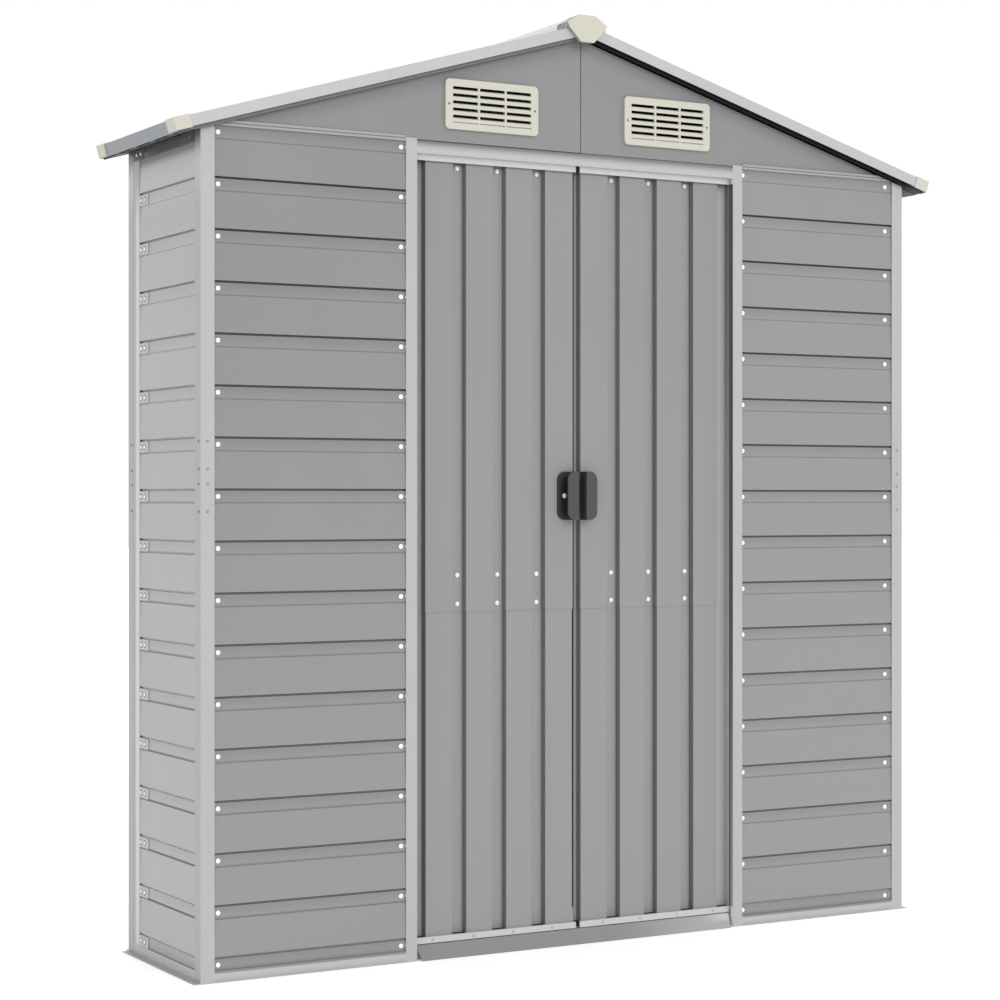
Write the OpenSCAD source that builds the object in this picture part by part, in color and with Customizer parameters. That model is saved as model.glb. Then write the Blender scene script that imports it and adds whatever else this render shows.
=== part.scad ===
// Grey metal storage shed: lapped siding on angle posts, a pitched roof with
// edge trims and cream end caps, louvred gable vents and two sliding doors.
// Millimetres. X runs along the front, Y from front to back, Z is up.

/* [Walls] */
// Width over the corner posts
wall_w = 1775; // [1700:5:2000]
// Depth over the corner posts
wall_d = 400; // [360:2:700]
// Height of one siding board
board_pitch = 104; // [100:1:110]
// Number of full siding boards in a wall
board_count = 16; // [15:1:17]
// Height of the flat band at the top of each board
band_h = 29; // [24:1:34]
// Height of the shadow groove under each lap
groove_h = 4.5; // [3.5:0.5:6]
// Depth of the shadow groove behind the lap
groove_d = 6; // [4.5:0.5:6]
// How far the band lies behind the lap
band_set = 1.5; // [1:0.25:2]
// Depth of the bend line between band and face
bend_d = 1.4; // [0.8:0.2:1.8]
// Thickness of the wall, door, gable and roof sheets
sheet_t = 1.2; // [1:0.1:1.4]

/* [Frame] */
// Width of a corner post's leg
post_w = 30; // [26:1:36]
// Thickness of posts, rails and trims
frame_t = 1.5; // [1.2:0.1:1.8]
// Width of a door jamb on the front
jamb_w = 26; // [24:1:34]
// Height of the base rails' face
base_h = 23.5; // [20:0.5:28]
// Width of the base rails' outer foot
base_foot = 14; // [8:1:20]
// Height of the rails between walls and gables
rail_h = 11.5; // [10:0.5:14]
// How far those rails stand proud of the posts
rail_proud = 1; // [0.5:0.25:2]

/* [Roof] */
// Rise of the roof for each millimetre across
roof_slope = 0.2945; // [0.27:0.0005:0.33]
// Overhang of the roof past the side walls
eave_out = 55; // [45:1:80]
// Overhang of the roof past the front and back
rake_out = 18; // [16:1:30]
// Height of the roof sheets' ribs
roof_rib_h = 7; // [6:0.5:9]
// Height of the roof's edge trims
trim_h = 23; // [20:1:30]
// Depth of the roof's edge trims
trim_d = 25; // [22:1:30]
// How far the eave trims' lip hangs below the ribs' top
eave_lip = 4; // [2:0.5:6]
// Wall of the cream end caps
cap_t = 2; // [1.6:0.2:2.6]
// Length of a corner cap along the front
cap_w = 34; // [30:1:44]
// Length of a corner cap along the eave
cap_d = 42; // [34:1:56]
// Height of the ridge cap above the trims
ridge_cap_h = 17; // [16:0.5:22]
// Half width of the ridge cap
ridge_cap_w = 50; // [46:1:60]
// How far the ridge cap stands out from the trims
ridge_cap_out = 9; // [8:1:14]

/* [Vents] */
// Width of a gable vent
vent_w = 226; // [200:2:240]
// Room between a vent's upper corner and the roof
vent_clear = 14; // [10:1:24]
// Distance of a vent's middle from the ridge line
vent_x = 223.5; // [200:0.5:240]
// Height of a vent's lower edge above the gable's foot
vent_up = 27; // [22:1:30]
// Thickness of a vent
vent_t = 6; // [5:0.5:8]

/* [Doors] */
// Width of the doorway between the jambs
doorway_w = 804; // [790:2:840]
// Distance of the doors' face behind the posts' face
door_set = 19; // [18.5:0.5:22]
// Gap between the closed doors
meet_gap = 5; // [5:0.5:8]
// How far a closed door reaches behind its jamb
jamb_lap = 13; // [8:1:16]
// Distance between the channels of a door
channel_pitch = 97.6; // [95:0.2:99]
// Width of a door channel
channel_w = 32; // [28:1:36]
// Depth of a door channel
channel_d = 16; // [12:0.5:18]
// Height of the doors' lower edge
door_z = 32; // [31:0.5:38]
// Height of the lap between a door's two sheets
lap_z = 727; // [600:1:800]
// Height of a door's rails on its face
door_rail_h = 13; // [11:0.5:16]
// How far the rails stand proud of the doors' face
door_rail_proud = 5; // [4:0.5:5]
// Running gap between a door and the rib that carries it
run_gap = 0.3; // [0.2:0.1:0.6]

/* [Handles] */
// Height of the middle of the handles
handle_z = 973; // [900:1:1050]
// Height of a handle
handle_h = 105; // [90:1:120]
// Width of a handle's plate on the door
handle_w = 40; // [32:1:42]
// Width of a handle's front plate
grip_w = 27; // [22:1:30]
// How far a handle stands out from the doors' face
handle_out = 26; // [22:1:32]
// Thickness of a handle's walls
handle_t = 3.2; // [2.6:0.2:4]
// Corner radius of a handle
handle_r = 18; // [8:1:20]

/* [Ramp] */
// How far the ramp reaches in front of the posts' face
ramp_out = 7; // [5:1:12]
// Cut at each end of the ramp's foot
ramp_cut = 8; // [4:1:14]

/* [Hidden] */
$fn = 48;
eps = 0.01;

// Colours of the painted sheet, the bare frame and the plastic
grey = [0.62, 0.62, 0.62];
pale = [0.76, 0.78, 0.79];
cream = [0.87, 0.86, 0.79];
dark = [0.25, 0.25, 0.25];

// Half sizes and the levels up the walls
half_w = wall_w / 2;
half_d = wall_d / 2;
seam_0 = base_h + band_h - frame_t;
wall_top = seam_0 + board_count * board_pitch;
rail_z = wall_top - 2.5;
gable_z = rail_z + rail_h / 2;
jamb_top = rail_z + rail_h - 4;

// The roof's underside is one plane on each side of the ridge
eave_drop = 12;
slope_a = atan(roof_slope);
roof_low = wall_top - eave_drop;
roof_top = roof_low + roof_slope * half_w;
roof_len = (half_w + eave_out) / cos(slope_a);
roof_y = half_d + rake_out;
sheet_in = 8;
rib_w = 20;
rib_run = 6;
rib_pitch = 98;
trim_top = roof_rib_h + trim_h;
strip_w = ridge_cap_w + 14;
crest = roof_top + trim_top / cos(slope_a);
vent_h = roof_top - roof_slope * (vent_x + vent_w / 2) - vent_clear - vent_up - gable_z;
slot_step = 15;
slot_rows = floor((vent_h - 2 * slot_step) / slot_step);
crown = 20;
hood_in = [
    [crown - 0.6 * cap_t, crest + ridge_cap_h - cap_t],
    [ridge_cap_w - 1.6 * cap_t, crest - 2 - cap_t]];

// The siding stands behind the posts and ends inside their corners
siding_end = 14;
bend_half = 1.5;

// The doors run behind the siding, on a rib and under a track
doorway = doorway_w / 2;
jamb_out = doorway + jamb_w;
jamb_d = door_set - door_rail_proud - 5;
rail_front = door_set - door_rail_proud;
sheet_back = door_set + channel_d + 2 * sheet_t;
rail_back = sheet_back + frame_t;
door_edge = doorway + jamb_lap;
face_x = 9;
channel_x = channel_pitch - 2;
channel_run = 1;
channel_room = channel_w / 2 + 6;
channel_count = 1 + floor((door_edge - channel_room - channel_x) / channel_pitch);
lap_h = 88;
foot_web_z = door_z + 3;
rib_t = 3;
rib_y = (door_set + sheet_back) / 2;
track_w = half_w - post_w - 2;
sill_z = door_z - 2;
sill_back = rail_back + 6;

// The header hides the upper part of the doors' top rails
head_h = 28;
head_top = rail_z + 5;
head_z = head_top - head_h;
head_w = half_w - (head_top - roof_low) / roof_slope - 4;
head_cover = rail_front - 5;
head_back = rail_back + 6;
door_head_z = head_z - 12;
head_web_z = door_head_z + 6;
door_head_top = head_z + 8;
guide_gap = 2.5;

// Outline of a board from its lap down to its bend line, on the outer side
function board_out(z) = [
    [0, z],
    [groove_d, z],
    [groove_d, z - groove_h],
    [band_set, z - groove_h],
    [band_set, z - band_h + bend_half],
    [band_set + bend_d, z - band_h],
    [band_set, z - band_h - bend_half]];

// The same outline on the sheet's inner side
function board_in(z) = [
    [sheet_t, z + sheet_t],
    [groove_d + sheet_t, z + sheet_t],
    [groove_d + sheet_t, z - groove_h - sheet_t],
    [band_set + sheet_t, z - groove_h - sheet_t],
    [band_set + sheet_t, z - band_h + bend_half],
    [band_set + bend_d + sheet_t, z - band_h],
    [band_set + sheet_t, z - band_h - bend_half]];

function reversed(list) = [for (i = [len(list) - 1 : -1 : 0]) list[i]];

// Siding from x0 to x1, with the laps' face at y = 0 towards -Y
module siding(x0, x1) {
    seams = [for (k = [board_count - 1 : -1 : 0]) seam_0 + k * board_pitch];
    top_out = [
        [band_set, wall_top],
        [band_set, wall_top - band_h + bend_half],
        [band_set + bend_d, wall_top - band_h],
        [band_set, wall_top - band_h - bend_half]];
    top_in = [for (p = top_out) p + [sheet_t, 0]];
    out = concat(top_out, [for (z = seams) for (p = board_out(z)) p], [[band_set, frame_t]]);
    in = concat(top_in, [for (z = seams) for (p = board_in(z)) p], [[band_set + sheet_t, frame_t]]);
    translate([x0, 0, 0])
        rotate([90, 0, 90])
            linear_extrude(x1 - x0) polygon(concat(out, reversed(in)));
}

// Everything above the roof's underside, to be cut away
module above_roof() {
    far = half_w + eave_out;
    low = roof_top - roof_slope * far;
    rotate([90, 0, 0])
        linear_extrude(4 * roof_y, center = true)
            polygon([[-far, low], [0, roof_top], [far, low], [far, 2 * roof_top], [-far, 2 * roof_top]]);
}

// Turns a piece made for the front round to the back
module at_back() {
    rotate([0, 0, 180]) children();
}

// Mirrors a piece made for the right to the left when side is -1
module on_side(side) {
    if (side < 0) mirror([1, 0, 0]) children();
    else children();
}

// Local frame of a roof slope: x down the slope, z out of the roof
module on_slope(side) {
    on_side(side)
        translate([0, 0, roof_top])
            rotate([0, slope_a, 0]) children();
}

// Base rail along the front, from the jamb to the corner post
module base_front(side) {
    long = half_w - post_w - jamb_out;
    color(pale) on_side(side) translate([jamb_out, -half_d, 0]) {
        cube([long, frame_t, base_h]);
        cube([long, rail_front, frame_t]);
    }
}

// Base rail along a side, with its foot turned out
module base_side(side) {
    color(pale) on_side(side) {
        translate([half_w - frame_t, post_w - half_d, 0])
            cube([frame_t, wall_d - 2 * post_w, base_h]);
        translate([half_w - frame_t, post_w - half_d, 0])
            cube([base_foot + frame_t, wall_d - 2 * post_w, frame_t]);
        translate([half_w, -half_d, 0]) cube([base_foot, wall_d, frame_t]);
    }
}

// Base rail along the back, with its foot turned out
module base_back() {
    long = wall_w - 2 * post_w;
    color(pale) at_back() {
        translate([-long / 2, -half_d, 0]) cube([long, frame_t, base_h]);
        translate([-long / 2, -half_d - base_foot, 0])
            cube([long, base_foot + frame_t, frame_t]);
        translate([-half_w, -half_d - base_foot, 0]) cube([wall_w, base_foot, frame_t]);
    }
}

// Corner post, an angle with one leg on the front and one on the side
module corner_post() {
    color(pale) difference() {
        translate([half_w - post_w, -half_d, 0]) {
            cube([post_w, frame_t, roof_top]);
            translate([post_w - frame_t, 0, 0]) cube([frame_t, post_w, roof_top]);
        }
        above_roof();
    }
}

// Door jamb: a face on the front and a return beside the doors
module jamb(side) {
    color(pale) on_side(side) translate([doorway, -half_d, 0]) {
        cube([jamb_w, frame_t, jamb_top]);
        cube([frame_t, jamb_d, head_z]);
    }
}

module front_wall(side) {
    color(grey) difference() {
        on_side(side) translate([0, frame_t - half_d, 0])
            siding(doorway + siding_end, half_w - siding_end);
        above_roof();
    }
}

module side_wall(side) {
    color(grey) difference() {
        on_side(side) rotate([0, 0, 90]) translate([0, frame_t - half_w, 0])
            siding(siding_end - half_d, half_d - siding_end);
        above_roof();
    }
}

module back_wall() {
    color(grey) difference() {
        at_back() translate([0, frame_t - half_d, 0])
            siding(siding_end - half_w, half_w - siding_end);
        above_roof();
    }
}

// Rail from x0 to x1 on a wall, grooved along its face, that carries the gable
module top_rail(x0, x1) {
    groove = 1;
    deep = frame_t + rail_proud;
    mid = rail_z + rail_h / 2;
    difference() {
        translate([x0, -half_d - rail_proud, 0]) rotate([90, 0, 90])
            linear_extrude(x1 - x0) polygon([
                [0, rail_z],
                [deep + band_set, rail_z],
                [deep + band_set, gable_z],
                [deep, gable_z],
                [deep, rail_z + rail_h],
                [0, rail_z + rail_h],
                [0, mid + groove],
                [groove, mid],
                [0, mid - groove]]);
        above_roof();
    }
}

module top_rail_front() {
    color(pale) for (side = [-1, 1]) on_side(side) top_rail(jamb_out, half_w - post_w);
}

module top_rail_back() {
    color(pale) at_back() top_rail(post_w - half_w, half_w - post_w);
}

// Rail along the top of a side wall, under the eave
module eave_rail(side) {
    long = wall_d - 2 * post_w;
    color(pale) difference() {
        on_side(side) translate([half_w - frame_t, -long / 2, roof_low - 22])
            cube([frame_t + rail_proud, long, 30]);
        above_roof();
    }
}

// Header over the doorway, and the track that guides the doors' top rails
module door_header() {
    inner = [door_set + guide_gap, sheet_back - guide_gap - frame_t];
    color(pale) translate([0, -half_d, 0]) {
        translate([-doorway, 0, 0]) rotate([90, 0, 90])
            linear_extrude(doorway_w) polygon([
                [0, head_z],
                [head_cover, head_z],
                [head_cover, head_top],
                [4, head_top],
                [1, head_top - 7],
                [0, head_top - 14]]);
        translate([-head_w, head_cover - frame_t, head_top - frame_t])
            cube([2 * head_w, head_back - head_cover + frame_t, frame_t]);
        translate([-head_w, head_back - frame_t, head_z])
            cube([2 * head_w, frame_t, head_h]);
        for (y = inner)
            translate([-head_w, y, head_z + 2]) cube([2 * head_w, frame_t, head_h - 2]);
    }
}

// Threshold channel, with the rib that the doors' bottom rails run on
module door_sill() {
    color(pale) translate([-track_w, -half_d, 0]) {
        translate([0, rail_front, sill_z - 4])
            cube([2 * track_w, sill_back - rail_front, frame_t]);
        translate([0, rail_front, 0]) cube([2 * track_w, frame_t, sill_z]);
        translate([0, sill_back - frame_t, 0]) cube([2 * track_w, frame_t, sill_z - 4 + frame_t]);
        translate([0, rib_y - rib_t / 2, sill_z - 4])
            cube([2 * track_w, rib_t, foot_web_z - run_gap - sill_z + 4]);
    }
}

// Sloping plate in front of the doorway, cut in at the ends of its foot
module door_ramp() {
    top_w = doorway - 3;
    color(grey) translate([0, -half_d, 0]) difference() {
        translate([-top_w, 0, 0]) rotate([90, 0, 90])
            linear_extrude(2 * top_w) polygon([
                [rail_front, sill_z],
                [rail_front, sill_z - 2 * frame_t],
                [frame_t - ramp_out, 0],
                [-ramp_out, 0]]);
        for (side = [-1, 1]) on_side(side)
            translate([0, 2 * rail_front, 0]) rotate([90, 0, 0])
                linear_extrude(3 * rail_front + ramp_out)
                    polygon([[top_w + 1, -1], [top_w + 1, sill_z], [top_w, sill_z], [top_w - ramp_cut, -1]]);
    }
}

// Half of a gable; the layer behind reaches past the middle
module gable(layer, open) {
    lap = 16;
    x0 = -lap * layer;
    border = 17;
    color(grey) difference() {
        translate([x0, frame_t - half_d + layer * sheet_t, gable_z])
            cube([half_w - x0, sheet_t, roof_top - gable_z]);
        above_roof();
        if (open) translate([vent_x, -half_d, gable_z + vent_up + vent_h / 2])
            cube([vent_w - 2 * border, 20, vent_h - border], center = true);
    }
}

// Rectangle with rounded corners about the origin
module round_rect(w, h, r) {
    square([w - 2 * r, h], center = true);
    square([w, h - 2 * r], center = true);
    for (x = [-1, 1], y = [-1, 1])
        translate([x * (w / 2 - r), y * (h / 2 - r)]) circle(r);
}

// Vent: a rounded plate with rows of slanted slots between two bars
module vent(side) {
    bar = 4.4;
    slot_t = 6.6;
    first = (slot_rows - 1) * slot_step / 2 + 5;
    field = vent_w - 35;
    slot = (field - 2 * bar) / 3;
    layer = side > 0 ? 1 : 0;
    color(cream)
        translate([side * vent_x, frame_t - half_d + layer * sheet_t, gable_z + vent_up + vent_h / 2])
            rotate([90, 0, 0]) difference() {
                linear_extrude(vent_t) round_rect(vent_w, vent_h, 10);
                for (x = [-1 : 1], k = [0 : slot_rows - 1])
                    translate([x * (slot + bar), first - k * slot_step, vent_t / 2])
                        rotate([25, 0, 0]) cube([slot, slot_t, 4 * vent_t], center = true);
                for (x = [-1 : 1])
                    translate([x * (slot + bar), first - (slot_rows - 0.1) * slot_step, vent_t])
                        cube([slot, 2.5, vent_t], center = true);
            }
}

// Ribbed roof sheet of one slope, outlined across the slope
module roof(side) {
    half = roof_y - sheet_in;
    count = floor((2 * half - rib_w) / rib_pitch);
    pitch = (2 * half - rib_w) / count;
    tops = [for (k = [0 : count]) rib_w / 2 - half + k * pitch];
    upper = [for (y = tops) for (p = [
        [y - rib_w / 2 - rib_run, sheet_t],
        [y - rib_w / 2, roof_rib_h],
        [y + rib_w / 2, roof_rib_h],
        [y + rib_w / 2 + rib_run, sheet_t]]) if (abs(p[0]) < half + eps) p];
    lower = [for (y = tops) for (p = [
        [y - rib_w / 2 - rib_run + sheet_t, 0],
        [y - rib_w / 2 + sheet_t, roof_rib_h - sheet_t],
        [y + rib_w / 2 - sheet_t, roof_rib_h - sheet_t],
        [y + rib_w / 2 + rib_run - sheet_t, 0]]) if (abs(p[0]) < half) p];
    ends = [[half, 0], [half - sheet_t, 0]];
    starts = [[sheet_t - half, 0], [-half, 0]];
    color(grey) on_slope(side)
        translate([sheet_t, 0, 0]) rotate([90, 0, 90])
            linear_extrude(roof_len - sheet_t - 2 * frame_t)
                polygon(concat(upper, ends, reversed(lower), starts));
}

// Heights of the ribs' top and of a sheet on it, at x from the ridge line
function rib_top(x) = roof_top + roof_rib_h / cos(slope_a) - roof_slope * abs(x);
function on_rib(x) = rib_top(x) + frame_t / cos(slope_a);

// Raised cover along the ridge, seated on the ribs and closed by the caps
module ridge_strip() {
    w = strip_w * cos(slope_a);
    t = frame_t;
    right_out = [[hood_in[0][0], hood_in[0][1]], [hood_in[1][0], hood_in[1][1]],
        [hood_in[1][0], on_rib(hood_in[1][0])], [w, on_rib(w)]];
    right_in = [[w, rib_top(w)], [hood_in[1][0] - t, rib_top(hood_in[1][0] - t)],
        [hood_in[1][0] - t, hood_in[1][1] - t / 2], [hood_in[0][0] - t / 2, hood_in[0][1] - t]];
    left_in = [for (p = reversed(right_in)) [-p[0], p[1]]];
    left_out = [for (p = reversed(right_out)) [-p[0], p[1]]];
    color(pale) rotate([90, 0, 0])
        linear_extrude(2 * (roof_y - trim_d - frame_t), center = true)
            polygon(concat(right_out, right_in, left_in, left_out));
}

// Trims along the two sloping edges of the front
module rakes() {
    long = roof_len - trim_d;
    color(pale) for (side = [-1, 1]) on_slope(side)
        translate([0, -roof_y, roof_rib_h]) {
            cube([long, frame_t, trim_h]);
            cube([long, trim_d, frame_t]);
            translate([0, 0, trim_h - frame_t]) cube([long, trim_d, frame_t]);
        }
}

// Trim along a low edge, with a lip in front of the sheet's end
module eave(side) {
    color(pale) on_slope(side)
        translate([roof_len - trim_d, -roof_y, roof_rib_h]) {
            translate([trim_d - frame_t, 0, -eave_lip]) cube([frame_t, 2 * roof_y, trim_h + eave_lip]);
            cube([trim_d, 2 * roof_y, frame_t]);
            translate([0, 0, trim_h - frame_t]) cube([trim_d, 2 * roof_y, frame_t]);
        }
}

// Cap over the front end of the ridge: a hollow six-sided cover, and a hood
// with a skirt that comes down to the trims
module ridge_cap() {
    hood = trim_d + 11;
    side = ridge_cap_w - 4;
    skirt_z = crest - roof_slope * (ridge_cap_w - cap_t) + 0.3;
    upper = [
        [-ridge_cap_w, crest - 2],
        [-crown, crest + ridge_cap_h],
        [crown, crest + ridge_cap_h],
        [ridge_cap_w, crest - 2]];
    foot = [[side, crest - 11], [17, crest - 41], [-17, crest - 41], [-side, crest - 11]];
    inner = [
        [-hood_in[1][0], hood_in[1][1]],
        [-hood_in[0][0], hood_in[0][1]],
        hood_in[0],
        hood_in[1]];
    inner_foot = [for (p = foot) p + [-sign(p[0]) * 1.6 * cap_t, cap_t]];
    color(cream) translate([0, -roof_y, 0]) rotate([90, 0, 0]) {
        linear_extrude(ridge_cap_out) difference() {
            polygon(concat(upper, foot));
            polygon(concat(inner, inner_foot));
        }
        translate([0, 0, ridge_cap_out - cap_t])
            linear_extrude(cap_t) polygon(concat(upper, foot));
        translate([0, 0, -hood])
            linear_extrude(hood + cap_t) {
                polygon(concat(upper, reversed(inner)));
                for (way = [-1, 1]) translate([way * (ridge_cap_w - cap_t / 2), skirt_z])
                    translate([-cap_t / 2, 0]) square([cap_t, crest - 2 - cap_t / 2 - skirt_z]);
            }
    }
}

// Cap over one corner of the roof: a front, an end and a top
module corner_cap() {
    difference() {
        translate([roof_len - cap_w, -roof_y - cap_t, roof_rib_h - cap_t])
            cube([cap_w + cap_t, cap_d + cap_t, trim_h + 2 * cap_t]);
        translate([roof_len - cap_w - 1, -roof_y, -trim_h])
            cube([cap_w + 1, cap_d + 1, trim_top + trim_h]);
    }
}

module corner_caps(side) {
    color(cream) on_slope(side) {
        corner_cap();
        mirror([0, 1, 0]) corner_cap();
    }
}

// Outline of the right door across its width, n sheets behind its face
function door_line(n) = concat(
    [[meet_gap / 2, channel_d + n * sheet_t],
        [face_x + n * sheet_t, channel_d + n * sheet_t],
        [face_x + channel_run + n * sheet_t, n * sheet_t]],
    [for (k = [0 : channel_count - 1])
        for (p = [[-1, 0], [-1, 1], [1, 1], [1, 0]])
            [channel_x + k * channel_pitch + p[0] * (channel_w / 2 - p[1] * channel_run + n * sheet_t),
                p[1] * channel_d + n * sheet_t]],
    [[door_edge, n * sheet_t]]);

// Door sheet number n between two heights
module door_sheet(side, n, z0, z1) {
    color(grey) on_side(side) translate([0, door_set - half_d, z0])
        linear_extrude(z1 - z0) polygon(concat(door_line(n), reversed(door_line(n + 1))));
}

module door_upper(side) {
    door_sheet(side, 0, lap_z, head_web_z);
}

module door_lower(side) {
    door_sheet(side, 1, foot_web_z + frame_t, lap_z + lap_h);
}

// Top and bottom rails of a door
module door_rails(side) {
    x0 = meet_gap;
    long = door_edge - x0;
    low_face = door_set + sheet_t;
    color(pale) on_side(side) translate([x0, -half_d, 0]) {
        translate([0, rail_front, door_z]) cube([long, low_face - rail_front, door_rail_h]);
        translate([0, rail_front, foot_web_z]) cube([long, rail_back + sheet_t - rail_front, frame_t]);
        translate([0, sheet_back + sheet_t, door_z]) cube([long, frame_t, door_rail_h]);
        translate([0, rail_front, door_head_z])
            cube([long, door_set - rail_front, door_head_top - door_head_z]);
        translate([0, rail_front, head_web_z]) cube([long, rail_back - rail_front, frame_t]);
        translate([0, sheet_back, door_head_z]) cube([long, frame_t, door_head_top - door_head_z]);
    }
}

// Plate rounded on its outer corners, standing in the XZ plane
module handle_plate(w) {
    rotate([90, 0, 0]) linear_extrude(handle_t) intersection() {
        translate([0, -handle_h / 2]) square([w, handle_h]);
        translate([w - handle_w, 0]) round_rect(2 * handle_w, handle_h, handle_r);
    }
}

// Handle: a plate on the door, a web near the middle and a front plate
module handle(side) {
    x0 = face_x + channel_run;
    color(dark) on_side(side) translate([x0, door_set - half_d, handle_z]) {
        handle_plate(handle_w);
        translate([0, handle_t - handle_out, 0]) handle_plate(grip_w);
        translate([0, -handle_out, -handle_h / 2]) cube([handle_t, handle_out, handle_h]);
    }
}

base_front(-1);  // base_front_left
base_front(1);  // base_front_right
base_side(-1);  // base_left
base_side(1);  // base_right
base_back();
on_side(-1) corner_post();  // post_front_left
corner_post();  // post_front_right
at_back() corner_post();  // post_back_left
at_back() on_side(-1) corner_post();  // post_back_right
jamb(-1);  // jamb_left
jamb(1);  // jamb_right
front_wall(-1);  // front_wall_left
front_wall(1);  // front_wall_right
side_wall(-1);  // left_wall
side_wall(1);  // right_wall
back_wall();
top_rail_front();
top_rail_back();
eave_rail(-1);  // eave_rail_left
eave_rail(1);  // eave_rail_right
door_header();
door_sill();
door_ramp();
on_side(-1) gable(0, true);  // gable_front_left
gable(1, true);  // gable_front_right
at_back() gable(1, false);  // gable_back_left
at_back() on_side(-1) gable(0, false);  // gable_back_right
vent(-1);  // vent_left
vent(1);  // vent_right
roof(-1);  // roof_left
roof(1);  // roof_right
ridge_strip();
rakes();  // rake_front
at_back() rakes();  // rake_back
eave(-1);  // eave_left
eave(1);  // eave_right
ridge_cap();  // ridge_cap_front
at_back() ridge_cap();  // ridge_cap_back
corner_caps(-1);  // corner_caps_left
corner_caps(1);  // corner_caps_right
door_upper(-1);  // left_door_upper
door_lower(-1);  // left_door_lower
door_rails(-1);  // left_door_rails
handle(-1);  // left_handle
door_upper(1);  // right_door_upper
door_lower(1);  // right_door_lower
door_rails(1);  // right_door_rails
handle(1);  // right_handle
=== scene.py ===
# Grey metal storage shed: paint, plastic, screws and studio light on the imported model
import math

import bpy
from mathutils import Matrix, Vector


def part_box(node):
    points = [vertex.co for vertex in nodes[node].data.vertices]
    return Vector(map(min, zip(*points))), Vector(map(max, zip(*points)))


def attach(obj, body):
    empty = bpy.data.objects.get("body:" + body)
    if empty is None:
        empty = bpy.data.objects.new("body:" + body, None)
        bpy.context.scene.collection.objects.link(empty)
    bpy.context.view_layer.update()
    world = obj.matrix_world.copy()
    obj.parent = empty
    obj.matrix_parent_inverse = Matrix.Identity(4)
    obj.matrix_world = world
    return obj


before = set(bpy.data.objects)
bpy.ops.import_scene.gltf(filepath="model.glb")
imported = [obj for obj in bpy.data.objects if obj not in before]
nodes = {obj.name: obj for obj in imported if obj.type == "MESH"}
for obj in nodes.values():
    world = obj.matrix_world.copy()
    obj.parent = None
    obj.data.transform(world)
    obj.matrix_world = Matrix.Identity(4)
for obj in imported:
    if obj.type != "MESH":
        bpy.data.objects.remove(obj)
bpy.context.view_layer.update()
print("loaded", len(nodes), "nodes")

shed = {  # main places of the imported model, in metres
    "frontY": -0.2,  # outer face of the posts
    "halfW": 0.8875,
    "seamLow": 0.051,  # lowest lap of the siding
    "boardPitch": 0.104,
    "boardRows": 17,
    "bandDrop": 0.016,  # from a lap down to the middle of its band
    "bandSet": 0.003,  # band behind the posts
    "doorSet": 0.019,  # door face behind the posts
    "channelDepth": 0.016,
    "channelFirst": 0.0956,
    "channelPitch": 0.0976,
    "lastChannel": 0.37,  # start of the right door's outer channel
    "footHigh": 0.045,  # top of the doors' bottom rails
    "topRailLow": 1.6775,  # lower edge of their top rails
    "baseHigh": 0.0235,  # top of the base rails
    "headLip": 0.002,  # from the header's lowest point up to its face
    "grooveRise": 0.00575,  # from the foot of the rail under a gable up to its groove
    "roofSlope": 0.2945,
}
rakeLow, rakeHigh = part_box("rake_front")
rakeLine = rakeLow[2] + shed["roofSlope"] * rakeHigh[0]  # lower edge of the rakes, at the ridge
doorFace = shed["frontY"] + shed["doorSet"]
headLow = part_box("door_header")[0][2] + shed["headLip"]
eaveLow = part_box("eave_rail_left")[0][2]  # lower edge of the rails under the eaves
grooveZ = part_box("top_rail_front")[0][2] + shed["grooveRise"]


class Wire:  # one socket of a shader tree, with maths on it
    def __init__(self, tree, socket):
        self.tree = tree
        self.socket = socket

    def node(self, kind, settings, values, output=0):  # any node, and a wire from one of its outputs
        made = self.tree.nodes.new(kind)
        for name, value in settings.items():
            setattr(made, name, value)
        for name, value in values.items():
            if isinstance(value, Wire):
                self.tree.links.new(value.socket, made.inputs[name])
            else:
                made.inputs[name].default_value = value
        return Wire(self.tree, made.outputs[output])

    def maths(self, operation, first, second=0.0):
        return self.node("ShaderNodeMath", {"operation": operation}, {0: first, 1: second})

    def __add__(self, other):
        return self.maths("ADD", self, other)

    def __radd__(self, other):
        return self.maths("ADD", other, self)

    def __sub__(self, other):
        return self.maths("SUBTRACT", self, other)

    def __rsub__(self, other):
        return self.maths("SUBTRACT", other, self)

    def __mul__(self, other):
        return self.maths("MULTIPLY", self, other)

    def __rmul__(self, other):
        return self.maths("MULTIPLY", other, self)

    def __truediv__(self, other):
        return self.maths("DIVIDE", self, other)

    def __rtruediv__(self, other):
        return self.maths("DIVIDE", other, self)

    def __gt__(self, other):
        return self.maths("GREATER_THAN", self, other)

    def __lt__(self, other):
        return self.maths("LESS_THAN", self, other)

    def __abs__(self):
        return self.maths("ABSOLUTE", self)

    def step(self, low, high):  # 0 below low, 1 above high
        values = {"Value": self, "From Min": low, "From Max": high}
        return self.node("ShaderNodeMapRange", {"interpolation_type": "SMOOTHSTEP"}, values)

    def axes(self):  # x, y and z
        split = self.node("ShaderNodeSeparateXYZ", {}, {0: self}).socket.node
        return [Wire(self.tree, out) for out in split.outputs]

    def mix(self, first, second):  # colours, by this socket as the factor
        colours = {0: self, 6: first, 7: second}  # 6 and 7 take colours, and output 2 gives one
        return self.node("ShaderNodeMix", {"data_type": "RGBA"}, colours, 2)


noTint = (1, 1, 1)


def tone(level, tint=noTint):  # a paint colour from its brightness on screen
    linear = ((level / 255 + 0.055) / 1.055) ** 2.4
    return tuple(linear * part for part in tint) + (1,)


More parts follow.
